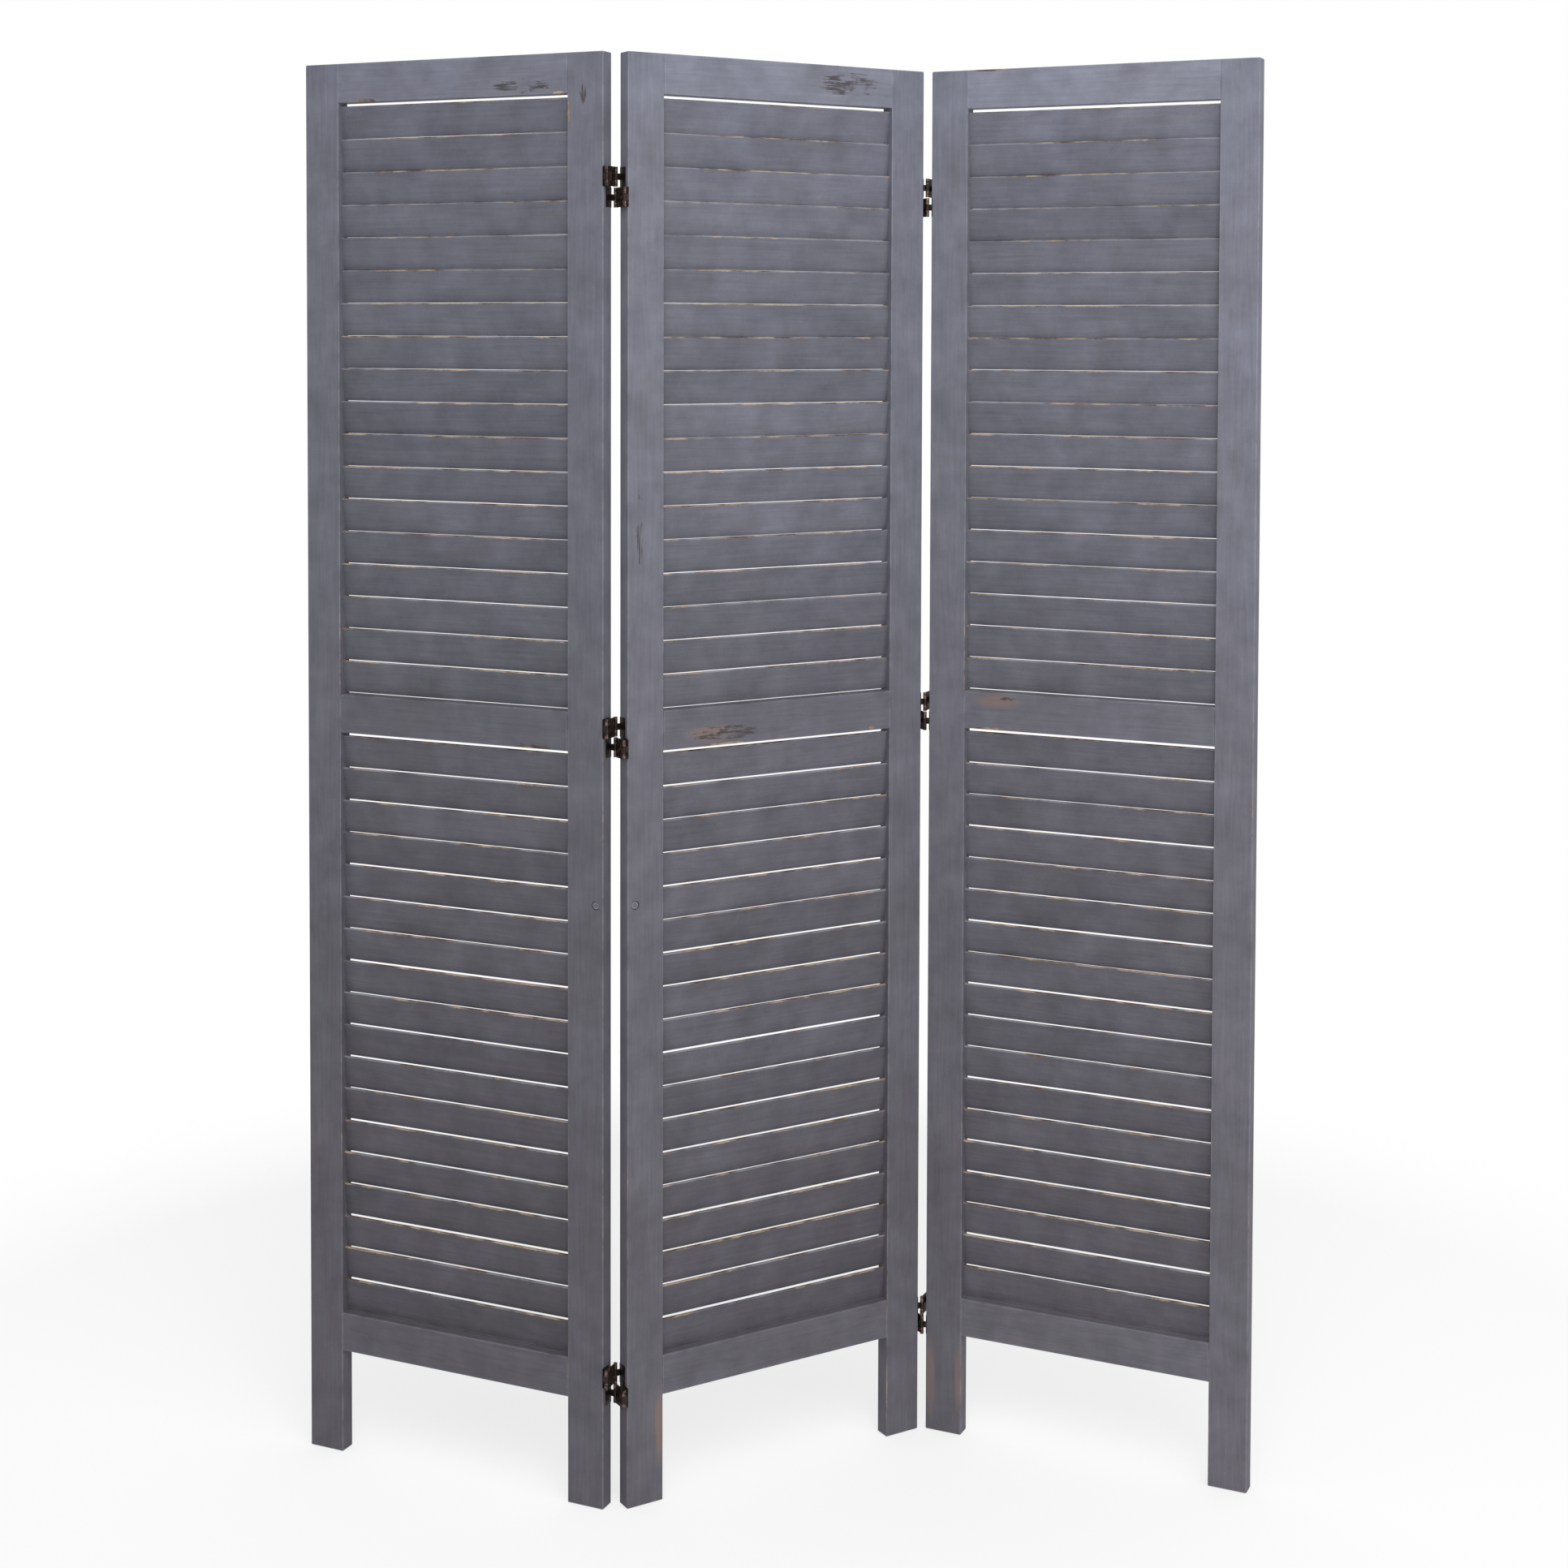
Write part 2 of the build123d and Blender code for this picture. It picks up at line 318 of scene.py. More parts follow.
tone = net.math("MULTIPLY", given["Tone"], net.math("MULTIPLY_ADD", rings, RING_DEPTH, RING_LIFT))
tone_depths = (
    (clouds, CLOUD_DEPTH), (patches, PATCH_DEPTH), (strokes, STROKE_DEPTH), (speckle, SPECKLE_DEPTH),
)
for pattern, depth in tone_depths:
    tone = net.math("MULTIPLY", tone, net.vary(pattern, depth))
height = net.ramp(net.split(place)[2], *TURNING_HEIGHTS)
shade = net.node("ShaderNodeHueSaturation")
net.put(shade.inputs["Color"], net.mix(height, PAINT_LOW, PAINT_HIGH))
net.put(shade.inputs["Saturation"], net.vary(clouds, SATURATION_DEPTH))
net.put(shade.inputs["Value"], tone)
thin = net.ramp(net.noise(drawn_out, THIN_STREAKS, detail=4.0, roughness=0.6), *THIN_LIMITS)
streaks = net.ramp(net.noise(drawn_out, FADED_STREAKS, detail=5.0, roughness=0.65), *FADED_LIMITS)
faded = net.math("MULTIPLY", given["Faded"], streaks)
faded = net.math("MAXIMUM", faded, net.math("MULTIPLY", thin, THIN_SHARE))
paint = net.mix(net.math("MULTIPLY", faded, FADED_COVER), shade.outputs[0], THIN_PAINT)
print("nodes with tone and thin places:", len(paint_tree.nodes))

# %% [markdown]
# Close to an arris the paint is rubbed paler, and beyond a ragged line it is gone. Chips add bare
# places away from the arrises. Below the paint, pale and dark wood take turns, with darker pores.
# Last come the scuffs: fine dark streaks along the wood, thick where hands take hold and rare
# elsewhere.

# %% Arrises, chips and scuffs
RUB_REACH_MM = (1.9, 0.2)
RUB_LIMITS = (0.36, 0.58)
RAGGED_REACH_MM = 3.4
BARE_REACH_MM = 1.6
LINE_SOFTNESS_MM = 0.35
WORN_STRETCHES = 9.0
WORN_LIMITS = (0.6, 0.68)
BARE_SPREAD = 0.22
CHIP_RAGGEDNESS = 0.9
CHIP_LIMITS = (1.02, 1.16)
WOOD_PATCHES = 34.0
WOOD_LIMITS = (0.38, 0.62)
PORE_LIMITS = (0.55, 0.72)
HELD_LIMITS = (0.3, 0.55)
SCUFF_REACH = 0.34
SCUFF_LIMITS = (0.77, 0.85)
SCUFF_COVER = 0.84
STRAY_REACH = 0.25
STRAY_LIMITS = (0.8, 0.9)
STRAY_SHARE = 0.5

rub = net.math("MULTIPLY", net.ramp(given["Arris"], *RUB_REACH_MM), net.ramp(patches, *RUB_LIMITS))
paint = net.mix(net.math("MULTIPLY", rub, given["Rub"]), paint, RUBBED_PAINT)
reach = net.math("MULTIPLY_ADD", given["Bare"], BARE_REACH_MM, -BARE_REACH_MM)
reach = net.math("MULTIPLY_ADD", ragged, RAGGED_REACH_MM, reach)
beyond = net.math("SUBTRACT", given["Arris"], reach)
stretches = net.math("MULTIPLY_ADD", given["Bare"], BARE_SPREAD, net.noise(place, WORN_STRETCHES))
edge_gone = net.ramp(beyond, LINE_SOFTNESS_MM, -LINE_SOFTNESS_MM)
edge_gone = net.math("MULTIPLY", edge_gone, net.ramp(stretches, *WORN_LIMITS))
chip = net.ramp(net.math("MULTIPLY_ADD", ragged, CHIP_RAGGEDNESS, given["Chips"]), *CHIP_LIMITS)
gone = net.math("MAXIMUM", edge_gone, chip)
wood = net.mix(net.ramp(net.noise(place, WOOD_PATCHES), *WOOD_LIMITS), DARK_WOOD, PALE_WOOD)
wood = net.mix(net.ramp(grain, *PORE_LIMITS), wood, WOOD_PORES)
color = net.mix(gone, paint, wood)
held = net.math("MULTIPLY", given["Dark"], net.ramp(patches, *HELD_LIMITS))
scuff = net.ramp(net.math("MULTIPLY_ADD", held, SCUFF_REACH, scratches), *SCUFF_LIMITS)
stray = net.ramp(net.math("MULTIPLY_ADD", patches, STRAY_REACH, scratches), *STRAY_LIMITS)
scuff = net.math("MAXIMUM", scuff, net.math("MULTIPLY", stray, STRAY_SHARE))
color = net.mix(net.math("MULTIPLY", scuff, SCUFF_COVER), color, SCUFF)
print("nodes with all the wear:", len(paint_tree.nodes))

# %% [markdown]
# Bare wood is rougher than the paint and lies lower by its thickness. Brush strokes, specks, pores
# and growth rings give the surface a slight relief.

# %% What the worn paint hands over
PAINT_ROUGHNESS = 0.58
WOOD_ROUGHER = 0.08
CLOUD_ROUGHER = 0.2
STROKE_RELIEF = 0.35
SPECKLE_RELIEF = 0.08
GRAIN_RELIEF = 0.18
RING_RELIEF = -0.05
PAINT_RELIEF = 0.55

roughness = net.math("MULTIPLY_ADD", gone, WOOD_ROUGHER, PAINT_ROUGHNESS)
relief = net.math("MULTIPLY", gone, -PAINT_RELIEF)
reliefs = ((strokes, STROKE_RELIEF), (speckle, SPECKLE_RELIEF), (grain, GRAIN_RELIEF), (rings, RING_RELIEF))
for pattern, amount in reliefs:
    relief = net.math("MULTIPLY_ADD", pattern, amount, relief)
net.put(result["Color"], color)
net.put(result["Roughness"], net.math("MULTIPLY_ADD", clouds, CLOUD_ROUGHER, roughness))
net.put(result["Height"], relief)
print("nodes in the worn paint:", len(paint_tree.nodes))

# %% [markdown]
# A board's material puts its own axes, arrises, strokes and marks into the paint. The seed moves
# its strokes, so that no two boards are alike. The paint lies on the wood like a thin skin, which
# the bump shows.

# %% Materials of painted boards
SEED_SHIFT = (1.7, 0.9, 2.3)
PAINT_BUMP = 0.35
PAINT_BUMP_MM = 0.6
PAINT_SPECULAR = 0.35
BOARD_BARE = 0.25
BOARD_RUB = 0.22
BOARD_SPREAD = 0.1


def panel_place(net, panel):
    """The object's position in the axes of one panel, in metres."""
    corner, turn = PANELS[panel]
    start = turned(corner, -turn)
    mapping = net.node("ShaderNodeMapping", vector_type="POINT")
    net.put(mapping.inputs["Vector"], net.node("ShaderNodeTexCoord").outputs["Object"])
    mapping.inputs["Rotation"].default_value = (0, 0, math.radians(-turn))
    mapping.inputs["Location"].default_value = (-start[0] * MM, -start[1] * MM, 0)
    return mapping.outputs[0]


def new_material(name):
    material = bpy.data.materials.new(name)
    material.use_nodes = True
    net = Net(material.node_tree)
    shader = next(n for n in material.node_tree.nodes if n.type == "BSDF_PRINCIPLED")
    return material, net, shader


def brushed(net, place, along, seed):
    """Texture position drawn out along the wood, so that noise turns into strokes."""
    stretch = [ACROSS_GRAIN, ACROSS_GRAIN, ACROSS_GRAIN]
    stretch["xyz".index(along)] = ALONG_GRAIN
    moved = net.vector("ADD", place, tuple(seed * shift for shift in SEED_SHIFT))
    return net.vector("MULTIPLY", moved, tuple(stretch))


def bumped(net, shader, height, strength, distance_mm):
    """Raise and sink the surface as a pattern says."""
    bump = net.node("ShaderNodeBump")
    bump.inputs["Strength"].default_value = strength
    bump.inputs["Distance"].default_value = distance_mm * MM
    net.put(bump.inputs["Height"], height)
    net.put(shader.inputs["Normal"], bump.outputs[0])


def finish_paint(net, shader, outputs):
    net.put(shader.inputs["Base Color"], outputs["Color"])
    net.put(shader.inputs["Roughness"], outputs["Roughness"])
    bumped(net, shader, outputs["Height"], PAINT_BUMP, PAINT_BUMP_MM)
    shader.inputs["Specular IOR Level"].default_value = PAINT_SPECULAR


def marked(net, place, spots):
    """The strongest of the marks at each place, or 0 where a board has none."""
    total = 0.0
    for middle, reach in spots:
        middle_m = tuple(value * MM for value in middle)
        reach_m = tuple(value * MM for value in reach)
        amount = net.group(spot_tree, Place=place, Middle=middle_m, Reach=reach_m)["Amount"]
        total = net.math("MAXIMUM", total, amount)
    return total


def board_paint(node, panel, low, high, along, seed):
    """Worn paint for one straight board of a frame, with the marks that it is known to have."""
    material, net, shader = new_material(node + "_paint")
    place = panel_place(net, panel)
    middle = tuple((a + b) / 2 * MM for a, b in zip(low, high))
    half = tuple((b - a) / 2 * MM for a, b in zip(low, high))
    arris = net.group(arris_tree, Place=place, Middle=middle, Half=half)["Millimetres"]
    # The panel's factor is painted light and shade.
    tone = PANEL_PAINTED_SHADE[panel] * BOARD_TONE.get(node.removeprefix(panel + "_panel_"), 1.0)
    tone *= 1 + BOARD_SPREAD * chance(seed * 1.3, 0.7, 2.1)
    marks = {kind: marked(net, place, boards.get(node, ())) for kind, boards in MARKS.items()}
    outputs = net.group(
        paint_tree, Place=place, Stroke=brushed(net, place, along, seed), Arris=arris,
        Bare=BOARD_BARE, Rub=BOARD_RUB, Tone=tone, **marks,
    )
    finish_paint(net, shader, outputs)
    return material


# %% [markdown]
# The marks below are the ones that stand out on the screen: dark scuffs on two top rails where hands
# take hold, chipped lower edges of the rails, a faded side on two legs and thin streaks on the
# middle panel's first stile. Each is a place and a reach in its own panel's axes, in millimetres.

# %% Marks on single boards
MARKS = {
    "Chips": {
        "left_panel_top_rail": [((84, 0, 1654), (26, 8, 4)), ((352, 0, 1654), (14, 6, 3))],
        "left_panel_mid_rail": [((314, 0, 890), (36, 8, 4))],
        "left_panel_right_stile": [((364, 0, 1630), (4, 8, 22))],
        "middle_panel_mid_rail": [((126, 0, 890), (50, 8, 4)), ((337, 0, 893), (7, 6, 3))],
        "right_panel_top_rail": [((78, 0, 1700), (40, 9, 4))],
        "right_panel_mid_rail": [((82, 0, 890), (36, 8, 4))],
    },
    "Dark": {
        "left_panel_top_rail": [((306, 0, 1664), (72, 14, 15))],
        "left_panel_mid_rail": [((314, 0, 892), (50, 14, 8))],
        "left_panel_right_stile": [((384, 0, 1652), (8, 14, 20))],
        "middle_panel_top_rail": [((296, 0, 1678), (84, 14, 24))],
        "middle_panel_mid_rail": [((130, 0, 904), (76, 14, 17))],
        "middle_panel_left_stile": [((16, 0, 1152), (8, 12, 80))],
        "right_panel_mid_rail": [((92, 0, 928), (40, 14, 10))],
    },
    "Faded": {
        "middle_panel_mid_rail": [((112, 0, 905), (44, 14, 14))],
        "middle_panel_left_stile": [((43, 0, 88), (11, 16, 60))],
        "right_panel_mid_rail": [((90, 0, 926), (40, 14, 12))],
        "right_panel_left_stile": [((5, 0, 66), (11, 16, 62)), ((44, 0, 70), (7, 16, 54))],
    },
}

# %% Paint every board of the frames
PANEL_SEED_STEP = 7

painted = 0
for panel in PANELS:
    boards = {
        "left_stile": ((0, 0, 0), (MEMBER, THICKNESS, PANEL_HEIGHT), "z"),
        "right_stile": ((PANEL_WIDTH - MEMBER, 0, 0), (PANEL_WIDTH, THICKNESS, PANEL_HEIGHT), "z"),
    }
    for level, bottom in RAIL_BOTTOMS.items():
        far_corner = (PANEL_WIDTH - MEMBER, THICKNESS, bottom + MEMBER)
        boards[level + "_rail"] = ((MEMBER, 0, bottom), far_corner, "x")
    for number, (board, (low, high, along)) in enumerate(boards.items()):
        node = panel + "_panel_" + board
        seed = 1.0 + number + PANEL_SEED_STEP * list(PANELS).index(panel)
        material = board_paint(node, panel, low, high, along, seed)
        bpy.data.objects[node].data.materials.clear()
        bpy.data.objects[node].data.materials.append(material)
        painted += 1
print("boards painted:", painted)

# %% [markdown]
# A slat is a thin board, 39.4 mm wide and 3.2 mm thick, that leans back at the bottom, so that its
# top edge shows in front. It starts as a block whose long edges are rounded. Cuts close to the
# arrises and at even steps along the slat give it the points that bows and nicks need. Each point
# keeps its distance to the nearest arris and to the front top one, which drives the wear.

# %% A straight slat
SLATS = 18
PITCH = 39.5
BOARD = 39.4
SHEET = 3.2
ROUND = 0.6
TILT = math.radians(8.5)
GROOVE = 6.0
FIRST_GAP = 4.0
UNEVEN = {"upper": 0.12, "lower": 0.35}
UNEVEN_STEP = 2.4
PANEL_PHASE = {"left": 0.3, "middle": 1.7, "right": 3.1}
FIELD_PHASE = {"upper": 0.9, "lower": 0.0}
SLAT_LENGTH = PANEL_WIDTH - 2 * MEMBER + 2 * GROOVE
HALF_HEIGHT = (BOARD / 2 - ROUND) * math.cos(TILT) + (SHEET / 2 - ROUND) * math.sin(TILT) + ROUND
STEPS = 80
ROWS = (1.6, 3.2, 7.0)
CUT_NEARNESS = 0.0001


def cut(bm, place, normal):
    """Divide the faces at a plane and keep both sides."""
    everything = bm.verts[:] + bm.edges[:] + bm.faces[:]
    bmesh.ops.bisect_plane(bm, geom=everything, dist=CUT_NEARNESS, plane_co=place, plane_no=normal)


def straight_slat():
    """A slat that lies along x about its own middle, in millimetres."""
    bm = bmesh.new()
    arris_layer = bm.verts.layers.float.new("arris_mm")
    top_layer = bm.verts.layers.float.new("front_top_mm")
    bm.verts.layers.float.new("slat_shade")
    bmesh.ops.create_cube(bm, size=1.0)
    bmesh.ops.scale(bm, vec=(SLAT_LENGTH, SHEET, BOARD), verts=bm.verts)
    long_edges = [edge for edge in bm.edges if edge.calc_length() > 2 * BOARD]
    bmesh.ops.bevel(bm, geom=long_edges, offset=ROUND, affect="EDGES", segments=2, profile=0.5, material=-1)
    for row in ROWS:
        for side in (-1, 1):
            cut(bm, (0, 0, side * (BOARD / 2 - row)), (0, 0, 1))
    for step in range(1, STEPS):
        cut(bm, ((step / STEPS - 0.5) * SLAT_LENGTH, 0, 0), (1, 0, 0))
    for vert in bm.verts:
        vert[arris_layer] = math.hypot(abs(vert.co.y) - SHEET / 2, abs(vert.co.z) - BOARD / 2)
        vert[top_layer] = math.hypot(vert.co.y + SHEET / 2, vert.co.z - BOARD / 2)
    bm.normal_update()
    for face in bm.faces:
        face.smooth = abs(face.normal.x) < 0.5
    mesh = bpy.data.meshes.new("straight_slat")
    bm.to_mesh(mesh)
    bm.free()
    return mesh


blank = straight_slat()
print("points in a slat:", len(blank.vertices), "half height when leaning:", round(HALF_HEIGHT, 2))

# %% [markdown]
# Real slats are never quite straight: each bows a little, and the front top edge is nicked where
# paint and splinters came off. Both come from smooth noise at fixed places, so the slats come out
# the same every time. One object holds the 18 slats of a field.

# %% Slats of one field
BOW_UP = 0.4
BOW_OUT = 0.5
LONG_NICK = 0.8
LONG_NICK_STEP = 0.055
LONG_NICK_START = 0.12
SHORT_NICK = 0.6
SHORT_NICK_STEP = 0.3
SHORT_NICK_START = 0.25
EDGE_WAVE = 0.8
EDGE_WAVE_STEP = 0.014
NICK_REACH = 2.4
NICK_LEAN = 0.45
END_TAPER = 8


def nick_depth(x, slat, seed):
    """How far the front top edge is worn down at x, or up where it is negative, in millimetres."""
    long_nick = max(0.0, chance(x * LONG_NICK_STEP, slat * 4.7, seed) - LONG_NICK_START)
    short_nick = max(0.0, chance(x * SHORT_NICK_STEP, slat * 5.9, seed + 20) - SHORT_NICK_START)
    wave = chance(x * EDGE_WAVE_STEP, slat * 3.7, seed + 40)
    return LONG_NICK * long_nick + SHORT_NICK * short_nick + EDGE_WAVE * wave


def wear_slat(bm, points, slat, seed):
    """Bow one straight slat, nick its front top edge and give its points the slat's own shade."""
    top_layer = bm.verts.layers.float["front_top_mm"]
    shade_layer = bm.verts.layers.float["slat_shade"]
    bow = Vector((0, BOW_OUT * chance(seed, slat * 2.3, 7.5), BOW_UP * chance(seed, slat * 3.1, 0.5)))
    shade = chance(seed * 2.7, slat * 1.9, 3.5)
    for point in points:
        x = point.co.x + SLAT_LENGTH / 2
        inside = math.sin(math.pi * x / SLAT_LENGTH)
        near = max(0.0, 1 - point[top_layer] / NICK_REACH) * min(1.0, END_TAPER * inside)
        point[shade_layer] = shade
        point.co += bow * inside + Vector((0, NICK_LEAN, -1)) * near * nick_depth(x, slat, seed)


def slat_field(panel, field, seed):
    """The 18 slats of one field, each made from the straight one and set in its place."""
    corner, turn = PANELS[panel]
    bm = bmesh.new()
    for i in range(SLATS):
        phase = PANEL_PHASE[panel] + FIELD_PHASE[field] + i * UNEVEN_STEP
        middle_z = FIELD_TOPS[field] - FIRST_GAP - HALF_HEIGHT - i * PITCH + UNEVEN[field] * math.sin(phase)
        known = len(bm.verts)
        bm.from_mesh(blank)
        bm.verts.ensure_lookup_table()
        points = bm.verts[known:]
        wear_slat(bm, points, i, seed)
        bmesh.ops.rotate(bm, cent=(0, 0, 0), matrix=Matrix.Rotation(TILT, 3, "X"), verts=points)
        bmesh.ops.translate(bm, vec=(PANEL_WIDTH / 2, THICKNESS / 2, middle_z), verts=points)
    bmesh.ops.rotate(bm, cent=(0, 0, 0), matrix=Matrix.Rotation(math.radians(turn), 3, "Z"), verts=bm.verts)
    bmesh.ops.translate(bm, vec=(corner[0], corner[1], 0), verts=bm.verts)
    bmesh.ops.scale(bm, vec=(MM, MM, MM), verts=bm.verts)
    mesh = bpy.data.meshes.new(panel + "_panel_" + field + "_slats_worn")
    bm.to_mesh(mesh)
    bm.free()
    piece = bpy.data.objects.new(mesh.name, mesh)
    bpy.context.scene.collection.objects.link(piece)
    return piece


# %% [markdown]
# The slats wear like the boards, but their bare stretches keep to the front top edge, which fingers
# and dusters touch. Each slat also has a shade of its own.

# %% Paint and place the slats
BARE_REACH = (9.0, 2.0)
SLAT_BARE = 0.64
SLAT_BARE_ANYWHERE = 0.02
SLAT_SPREAD = 0.16
SLAT_RUB = 0.5
SLAT_PAINT_SEED = 30.0
FIELD_SEED = {"upper": 0.0, "lower": 3.7}
FIELD_SEED_STEP = 11.3


def slat_paint(panel, seed):
    """Worn paint whose bare stretches follow the front top edge of each slat."""
    material, net, shader = new_material(panel + "_slat_paint")
    place = panel_place(net, panel)
    stored = {}
    for name in ("arris_mm", "front_top_mm", "slat_shade"):
        stored[name] = net.node("ShaderNodeAttribute", attribute_name=name).outputs["Fac"]
    near_top = net.ramp(stored["front_top_mm"], *BARE_REACH)
    # This tone carries painted shade: the slats are painted darker than the frames, by a different amount on
    # each panel.
    mean_tone = SLAT_PAINTED_SHADE[panel] * PANEL_PAINTED_SHADE[panel]
    outputs = net.group(
        paint_tree, Place=place, Stroke=brushed(net, place, "x", seed), Arris=stored["arris_mm"],
        Rub=SLAT_RUB, Bare=net.math("MULTIPLY_ADD", near_top, SLAT_BARE, SLAT_BARE_ANYWHERE),
        Tone=net.math("MULTIPLY_ADD", stored["slat_shade"], SLAT_SPREAD, mean_tone),
    )
    finish_paint(net, shader, outputs)
    return material


for number, panel in enumerate(PANELS):
    material = slat_paint(panel, SLAT_PAINT_SEED + number)
    for field in FIELD_TOPS:
        piece = slat_field(panel, field, FIELD_SEED_STEP * (number + 1) + FIELD_SEED[field])
        piece.data.materials.append(material)
        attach(piece, panel + "_panel")
        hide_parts(panel + "_panel_" + field + "_slats")
        print(piece.name, len(piece.data.polygons), "faces")

# %% [markdown]
# The hinges are stamped brass with a dark antique finish. Handling wears it back to a coppery pink
# in cloudy patches, a little on the leaves and more on the links. The screws share the finish and are
# rubbed like the links. The pins are darkened steel.

# %% Antique metal
DARK_BRASS = (0.022, 0.018, 0.016, 1)
BROWN_BRASS = (0.05, 0.038, 0.034, 1)
COPPER_PINK = (0.38, 0.225, 0.195, 1)
METAL_CLOUDS = 260.0
METAL_SPECKS = 1500.0
RUBBED_LIMITS = (0.62, 0.95)
METAL_ROUGHNESS = 0.26
SPECK_ROUGHER = 0.25
SPECK_RELIEF = 0.4
METAL_BUMP = 0.25
METAL_BUMP_MM = 0.2
METALLIC = 0.9

metal_tree, net, given, result = new_group(
    "antique_metal",
    [("Place", "Vector"), ("Rubbed", "Float")],
    [("Color", "Color"), ("Roughness", "Float"), ("Height", "Float")],
)
cloud = net.noise(given["Place"], METAL_CLOUDS, detail=4.0, roughness=0.6)
speck = net.noise(given["Place"], METAL_SPECKS, detail=3.0, roughness=0.6)
rubbed = net.ramp(net.math("ADD", cloud, given["Rubbed"]), *RUBBED_LIMITS)
net.put(result["Color"], net.mix(rubbed, net.mix(speck, DARK_BRASS, BROWN_BRASS), COPPER_PINK))
net.put(result["Roughness"], net.math("MULTIPLY_ADD", speck, SPECK_ROUGHER, METAL_ROUGHNESS))
net.put(result["Height"], net.math("MULTIPLY_ADD", speck, SPECK_RELIEF, cloud))


def antique(name, rubbed):
    """Dark metal, rubbed bright over a share of its surface."""
    material, net, shader = new_material(name)
    place = net.node("ShaderNodeTexCoord").outputs["Object"]
    outputs = net.group(metal_tree, Place=place, Rubbed=rubbed)
    net.put(shader.inputs["Base Color"], outputs["Color"])
    net.put(shader.inputs["Roughness"], outputs["Roughness"])
    bumped(net, shader, outputs["Height"], METAL_BUMP, METAL_BUMP_MM)
    shader.inputs["Metallic"].default_value = METALLIC
    return material


print("nodes in the antique metal:", len(metal_tree.nodes))

# %% [markdown]
# The dowels stay hidden and are plain hardwood. The two large screws were painted over with the
# frame. Their paint is painted lighter than that of the wood around them, as painted light against the shade
# of the seats they sit in.

# %% Dowels and large screws
PALE_DOWEL = (0.62, 0.45, 0.27, 1)
BROWN_DOWEL = (0.36, 0.22, 0.11, 1)
DOWEL_SEED = 3.0
DOWEL_ROUGHNESS = 0.6
DOWEL_ROUGHER = 0.2
DOWEL_BUMP = 0.2
DOWEL_BUMP_MM = 0.4
SCREW_SEED = 50.0
# Painted light: the screw heads are painted lighter to outweigh the shade in their seats.
SCREW_PAINTED_LIGHT = 1.6
FAR_FROM_ARRIS = 9.0


def plain_wood(name):
    """Bare hardwood of the hidden dowels."""
    material, net, shader = new_material(name)
    place = net.node("ShaderNodeTexCoord").outputs["Object"]
    rings = net.noise(brushed(net, place, "x", DOWEL_SEED), 1.0, detail=4.0)
    net.put(shader.inputs["Base Color"], net.mix(rings, BROWN_DOWEL, PALE_DOWEL))
    net.put(shader.inputs["Roughness"], net.math("MULTIPLY_ADD", rings, DOWEL_ROUGHER, DOWEL_ROUGHNESS))
    bumped(net, shader, rings, DOWEL_BUMP, DOWEL_BUMP_MM)
    return material


def screw_paint(panel):
    """Unworn paint over a large screw, painted lighter against the shade of its seat."""
    material, net, shader = new_material(panel + "_screw_paint")
    place = panel_place(net, panel)
    outputs = net.group(
        paint_tree, Place=place, Stroke=brushed(net, place, "z", SCREW_SEED), Arris=FAR_FROM_ARRIS,
        Tone=SCREW_PAINTED_LIGHT, Bare=0.0, Rub=0.0,
    )
    finish_paint(net, shader, outputs)
    return material


# %% Give metal, dowels and screws their finish
LEAF_RUBBED = 0.05
LINK_RUBBED = 0.2
SCREW_RUBBED = 0.2
PIN_RUBBED = 0.1
finishes = {
    "_leaf": antique("leaf_brass", LEAF_RUBBED),
    "_link": antique("link_brass", LINK_RUBBED),
    "_hinge_screws": antique("screw_brass", SCREW_RUBBED),
    "_pins": antique("pin_steel", PIN_RUBBED),
    "_pin_middles": antique("pin_middle_steel", PIN_RUBBED),
    "_dowels": plain_wood("dowel_wood"),
    "left_panel_sunk_screw": screw_paint("left"),
    "middle_panel_sunk_screw": screw_paint("middle"),
}
dressed = 0
for thing in list(bpy.data.objects):
    for ending, material in finishes.items():
        if thing.type == "MESH" and thing.name.endswith(ending):
            thing.data.materials.clear()
            thing.data.materials.append(material)
            dressed += 1
print("nodes of metal, dowels and large screws:", dressed)

# %% [markdown]
# The room is a white floor that runs out of sight. A broad lamp above and in front gives the faces
# their light, a weaker one fills from the right, and an even white sky keeps the shadows soft.

# %% The floor
FLOOR_HALF_SIZE = 30.0
FLOOR_DROP = 0.0003
FLOOR_WHITE = (0.93, 0.93, 0.93, 1)
FLOOR_ROUGHNESS = 0.9
FLOOR_SPECULAR = 0.1
GLOW_RADII = (0.5, 1.7)
GLOW_LEAST = 0.65

bm = bmesh.new()
bmesh.ops.create_grid(bm, x_segments=1, y_segments=1, size=FLOOR_HALF_SIZE)
mesh = bpy.data.meshes.new("floor")
bm.to_mesh(mesh)
bm.free()
floor = bpy.data.objects.new("floor", mesh)
floor.location = (0, 0, -FLOOR_DROP)
bpy.context.scene.collection.objects.link(floor)
material, net, shader = new_material("floor_white")
shader.inputs["Base Color"].default_value = FLOOR_WHITE
shader.inputs["Roughness"].default_value = FLOOR_ROUGHNESS
shader.inputs["Specular IOR Level"].default_value = FLOOR_SPECULAR
radius = net.vector("LENGTH", net.node("ShaderNodeTexCoord").outputs["Object"])
glow = net.math("MAXIMUM", net.ramp(radius, *GLOW_RADII), GLOW_LEAST)
blend = net.node("ShaderNodeMixShader")
net.put(blend.inputs[0], net.math("MULTIPLY", glow, net.node("ShaderNodeLightPath").outputs["Is Camera Ray"]))
net.put(blend.inputs[1], shader.outputs[0])
net.put(blend.inputs[2], net.node("ShaderNodeEmission").outputs[0])
surface = next(n for n in material.node_tree.nodes if n.type == "OUTPUT_MATERIAL").inputs["Surface"]
net.put(surface, blend.outputs[0])
floor.data.materials.append(material)
print("floor", floor.dimensions[:])

# %% Sky and lamps
SKY_COLOUR = (0.98, 0.99, 1, 1)
SKY_STRENGTH = 0.72


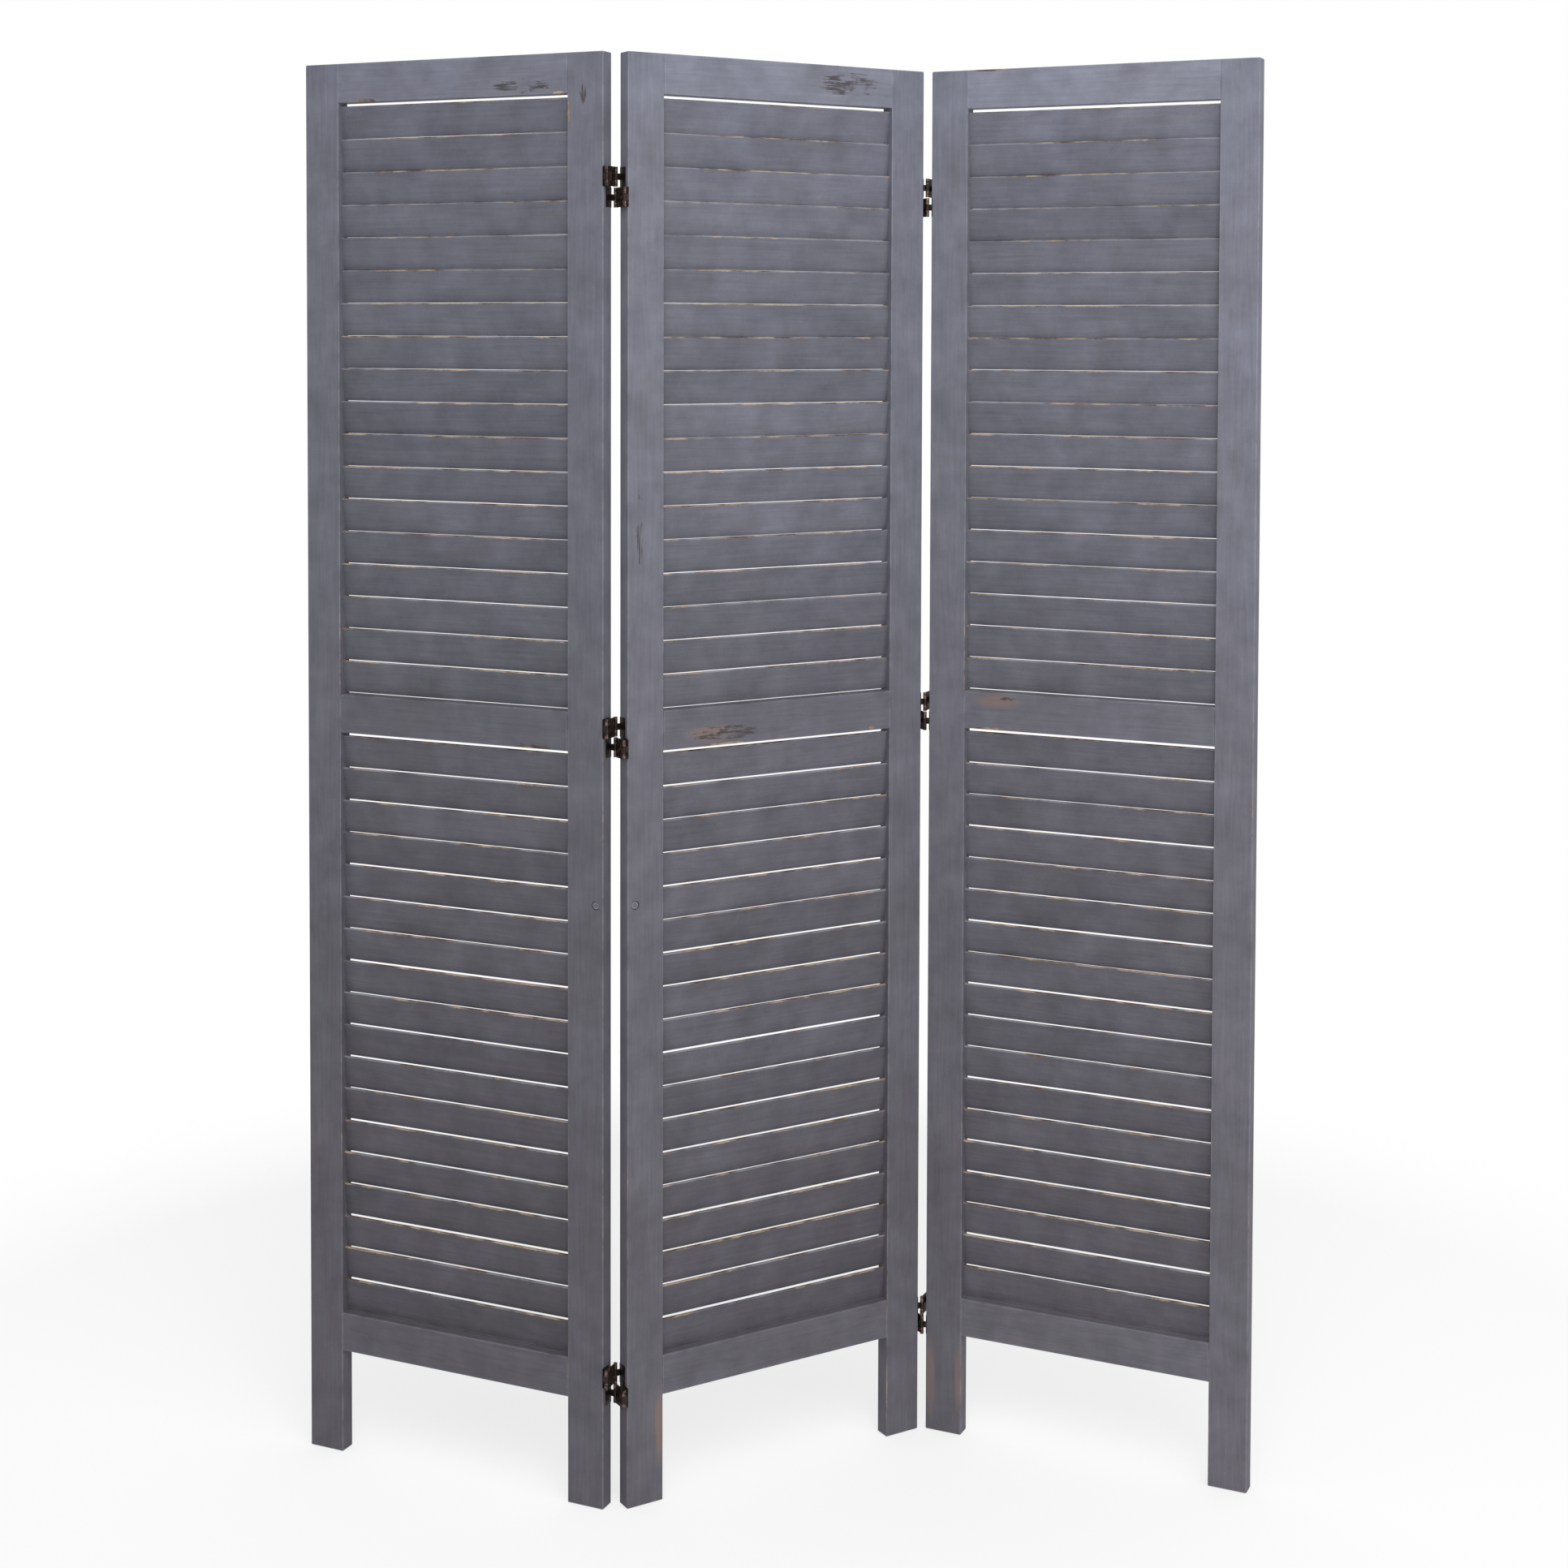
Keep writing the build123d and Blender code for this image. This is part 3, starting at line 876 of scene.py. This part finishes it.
def background(net, colour, strength):
    made = net.node("ShaderNodeBackground")
    made.inputs["Color"].default_value = colour
    made.inputs["Strength"].default_value = strength
    return made.outputs[0]


def lamp(name, place, aim, size, power):
    """A square lamp that faces a point."""
    light = bpy.data.lights.new(name, "AREA")
    light.shape = "SQUARE"
    light.size = size
    light.energy = power
    holder = bpy.data.objects.new(name, light)
    holder.location = place
    holder.rotation_euler = (Vector(aim) - Vector(place)).to_track_quat("-Z", "Y").to_euler()
    bpy.context.scene.collection.objects.link(holder)


world = bpy.data.worlds.new("studio")
world.use_nodes = True
bpy.context.scene.world = world
world.node_tree.nodes.clear()
net = Net(world.node_tree)
choose = net.node("ShaderNodeMixShader")
net.put(choose.inputs[0], net.node("ShaderNodeLightPath").outputs["Is Camera Ray"])
net.put(choose.inputs[1], background(net, SKY_COLOUR, SKY_STRENGTH))
net.put(choose.inputs[2], background(net, (1, 1, 1, 1), 1.0))
net.put(net.node("ShaderNodeOutputWorld").inputs["Surface"], choose.outputs[0])
lamp("key", place=(0.3, -2.8, 3.4), aim=(0, 0, 0.9), size=2.4, power=75.0)
lamp("fill", place=(2.8, -2.4, 1.8), aim=(0, 0, 0.8), size=2.0, power=22.0)
print("lamps and sky are in place")

# %% [markdown]
# The photo was taken from 2.9 m away at about eye height, nearly level, and cut down to the screen
# afterwards. A nearly level camera keeps the stiles upright, and the shift in the lens does what
# the cutting did. The small roll and yaw come from the fit to the photo.

# %% Camera and picture
EYE = (0.0037, -2.9085, 1.3778)
PITCH_ROLL_YAW = (87.919, -0.179, -0.502)
SENSOR_WIDTH = 36.0
LENS = 55.70
SHIFT_X = -0.0103
SHIFT_Y = -0.2316

camera_data = bpy.data.cameras.new("camera")
camera_data.sensor_width = SENSOR_WIDTH
camera_data.lens = LENS
camera_data.shift_x = SHIFT_X
camera_data.shift_y = SHIFT_Y
camera_data.dof.use_dof = False
camera = bpy.data.objects.new("camera", camera_data)
camera.location = EYE
camera.rotation_euler = [math.radians(angle) for angle in PITCH_ROLL_YAW]
bpy.context.scene.collection.objects.link(camera)
bpy.context.scene.camera = camera
bpy.context.scene.view_settings.view_transform = "Standard"
print("camera at", EYE)
